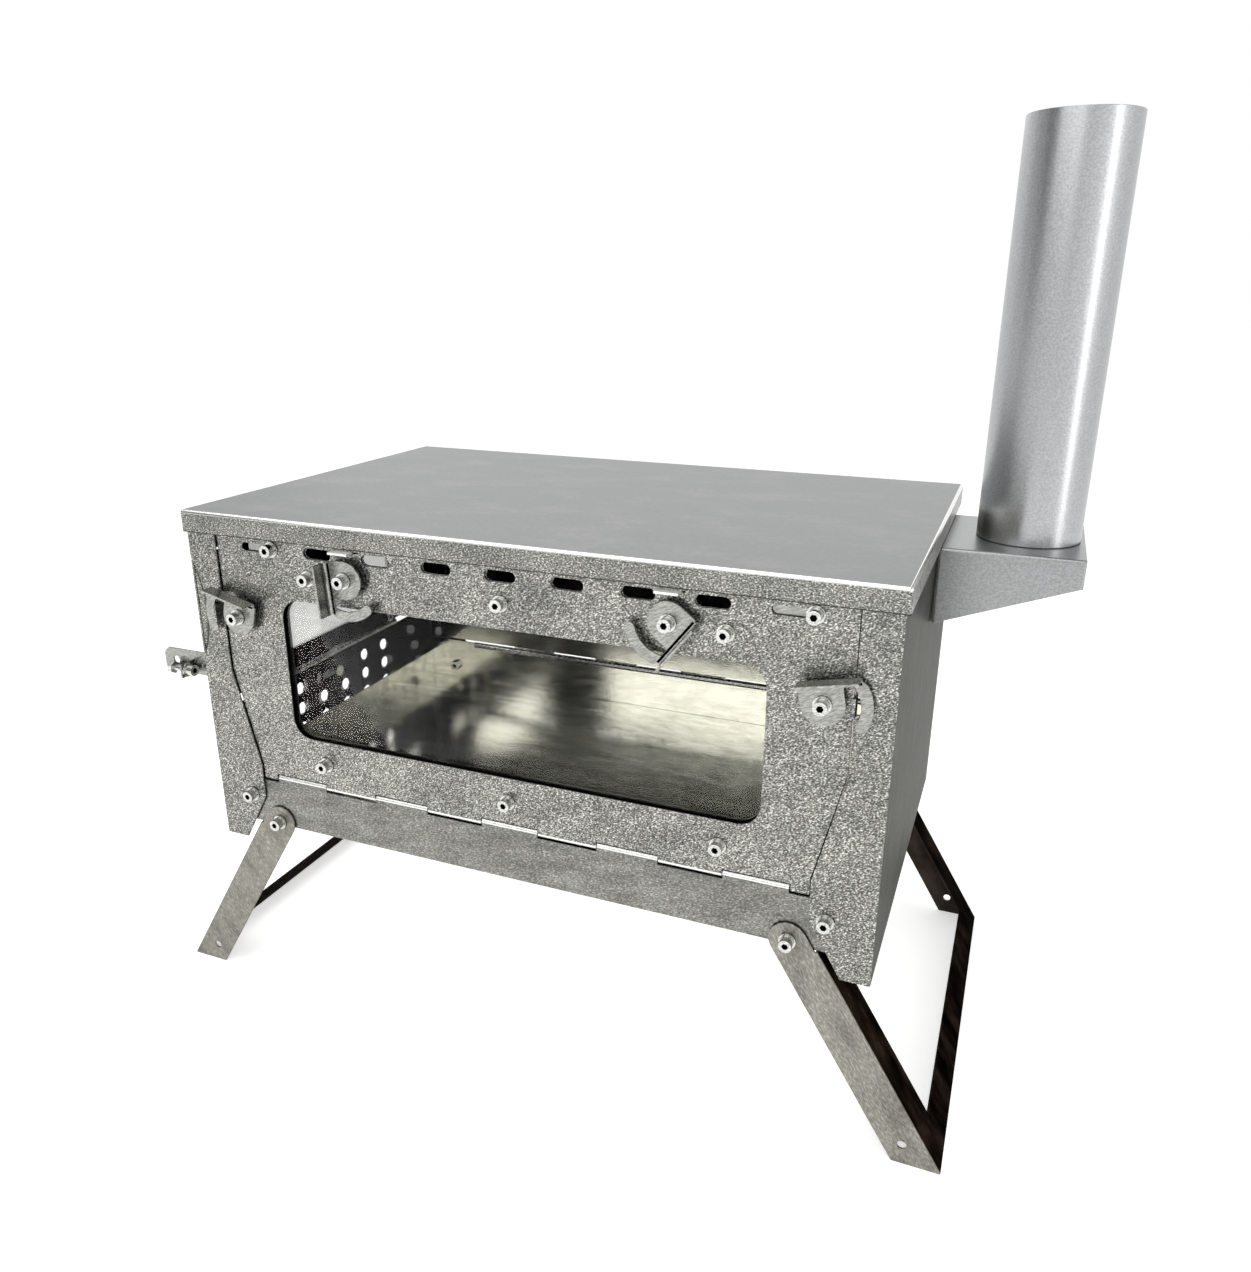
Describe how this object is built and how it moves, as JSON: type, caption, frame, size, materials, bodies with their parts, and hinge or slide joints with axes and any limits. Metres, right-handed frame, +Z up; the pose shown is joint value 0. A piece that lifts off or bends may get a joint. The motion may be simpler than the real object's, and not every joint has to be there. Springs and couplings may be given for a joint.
{
  "type": "tent wood stove",
  "caption": "Folding sheet-steel wood stove on splayed leg frames, with a glazed drop-down front, side loading door, flat cooking lid and a side flue elbow with chimney pipe.",
  "frame": {"origin": "On the ground under the middle of the bounding box.", "axes": "+Z up; the glazed front panel faces -Y; the flue and chimney pipe are on +X."},
  "size_m": [0.515, 0.2638, 0.5062],
  "materials": {
    "body_steel": "bare rolled stainless sheet with a fine streaky grain",
    "lid_steel": "satin rolled sheet with faint cloudy marks",
    "leg_steel": "darker bare sheet",
    "flue_steel": "satin rolled thin sheet",
    "pin_steel": "drawn hinge wire",
    "fastener_steel": "bright socket screws, washers and nuts",
    "glass": "clear heat-resistant glass"
  },
  "bodies": {
    "stove_body": {"base_pan": "body_steel", "left_wall": "body_steel", "right_wall": "body_steel", "flue_spigot": "body_steel", "front_hinge_pin": "pin_steel", "back_hinge_pin": "pin_steel", "side_door_hinge_pin": "pin_steel", "wall_screw_front_left": "fastener_steel", "wall_screw_front_right": "fastener_steel", "wall_screw_back_left": "fastener_steel", "wall_screw_back_right": "fastener_steel", "leg_screw_front_left": "fastener_steel", "leg_screw_front_right": "fastener_steel", "leg_screw_back_left": "fastener_steel", "leg_screw_back_right": "fastener_steel"},
    "lid": {"lid": "lid_steel"},
    "front_door": {"front_panel": "body_steel", "window_glass": "glass", "window_frame": "body_steel", "window_screw_1": "fastener_steel", "window_screw_2": "fastener_steel", "window_screw_3": "fastener_steel", "window_screw_4": "fastener_steel", "window_screw_5": "fastener_steel", "window_screw_6": "fastener_steel", "latch_screw_top_left": "fastener_steel", "latch_screw_top_right": "fastener_steel", "latch_screw_side_left": "fastener_steel", "latch_screw_side_right": "fastener_steel"},
    "air_slider": {"air_slider": "body_steel", "air_slider_screw_left": "fastener_steel", "air_slider_screw_right": "fastener_steel"},
    "latch_top_left": {"latch_top_left": "body_steel"},
    "latch_top_right": {"latch_top_right": "body_steel"},
    "latch_side_left": {"latch_side_left": "body_steel"},
    "latch_side_right": {"latch_side_right": "body_steel"},
    "back_panel": {"back_panel": "body_steel"},
    "side_door": {"side_door": "body_steel", "side_door_glass": "glass", "side_door_frame": "body_steel", "side_door_screw_1": "fastener_steel", "side_door_screw_2": "fastener_steel", "side_door_screw_3": "fastener_steel", "side_door_screw_4": "fastener_steel", "side_door_latch_screw": "fastener_steel", "side_door_pull": "body_steel", "side_door_pull_screw": "fastener_steel", "side_door_knob_screw": "fastener_steel"},
    "side_door_latch": {"side_door_latch": "body_steel"},
    "damper": {"damper_plate": "body_steel", "damper_knob": "fastener_steel"},
    "leg_frame_left": {"leg_frame_left": "leg_steel"},
    "leg_frame_right": {"leg_frame_right": "leg_steel"},
    "flue_elbow": {"flue_elbow": "flue_steel", "flue_collar": "flue_steel"},
    "chimney_pipe": {"chimney_pipe": "flue_steel"}
  },
  "joints": [
    {"name": "lid_lift", "type": "slide", "parent": "stove_body", "child": "lid", "axis": [0, 0, 1], "range_m": [0, 0.06]},
    {"name": "front_door_hinge", "type": "hinge", "parent": "stove_body", "child": "front_door", "pos_m": [-0.0145, -0.11555, 0.146], "axis": [1, 0, 0], "range_deg": [0, 95]},
    {"name": "air_slider_slide", "type": "slide", "parent": "front_door", "child": "air_slider", "axis": [1, 0, 0], "range_m": [-0.018, 0]},
    {"name": "latch_top_left_turn", "type": "hinge", "parent": "front_door", "child": "latch_top_left", "pos_m": [-0.1055, -0.12225, 0.277], "axis": [0, -1, 0], "range_deg": [-20, 172]},
    {"name": "latch_top_right_turn", "type": "hinge", "parent": "front_door", "child": "latch_top_right", "pos_m": [0.0765, -0.12225, 0.277], "axis": [0, -1, 0], "range_deg": [-140, 25]},
    {"name": "latch_side_left_turn", "type": "hinge", "parent": "front_door", "child": "latch_side_left", "pos_m": [-0.18, -0.12225, 0.2476], "axis": [0, -1, 0], "range_deg": [-150, 8]},
    {"name": "latch_side_right_turn", "type": "hinge", "parent": "front_door", "child": "latch_side_right", "pos_m": [0.151, -0.12225, 0.2476], "axis": [0, -1, 0], "range_deg": [-8, 150]},
    {"name": "back_panel_hinge", "type": "hinge", "parent": "stove_body", "child": "back_panel", "pos_m": [-0.0145, 0.11705, 0.153], "axis": [1, 0, 0], "range_deg": [0, 88]},
    {"name": "side_door_hinge", "type": "hinge", "parent": "stove_body", "child": "side_door", "pos_m": [-0.2103, -0.00825, 0.183], "axis": [0, -1, 0], "range_deg": [0, 95]},
    {"name": "side_door_latch_turn", "type": "hinge", "parent": "side_door", "child": "side_door_latch", "pos_m": [-0.2136, -0.00825, 0.2655], "axis": [-1, 0, 0], "range_deg": [-4, 150]},
    {"name": "damper_slide", "type": "slide", "parent": "stove_body", "child": "damper", "axis": [0, 1, 0], "range_m": [-0.012, 0]},
    {"name": "leg_fold_left", "type": "hinge", "parent": "stove_body", "child": "leg_frame_left", "pos_m": [-0.1705, 0.00075, 0.1173], "axis": [0, -1, 0], "range_deg": [0, 121]},
    {"name": "leg_fold_right", "type": "hinge", "parent": "stove_body", "child": "leg_frame_right", "pos_m": [0.1415, 0.00075, 0.1173], "axis": [0, 1, 0], "range_deg": [0, 121]},
    {"name": "elbow_pull", "type": "slide", "parent": "stove_body", "child": "flue_elbow", "axis": [1, 0, 0], "range_m": [0, 0.05]},
    {"name": "pipe_lift", "type": "slide", "parent": "flue_elbow", "child": "chimney_pipe", "axis": [0, 0, 1], "range_m": [0, 0.06]}
  ]
}
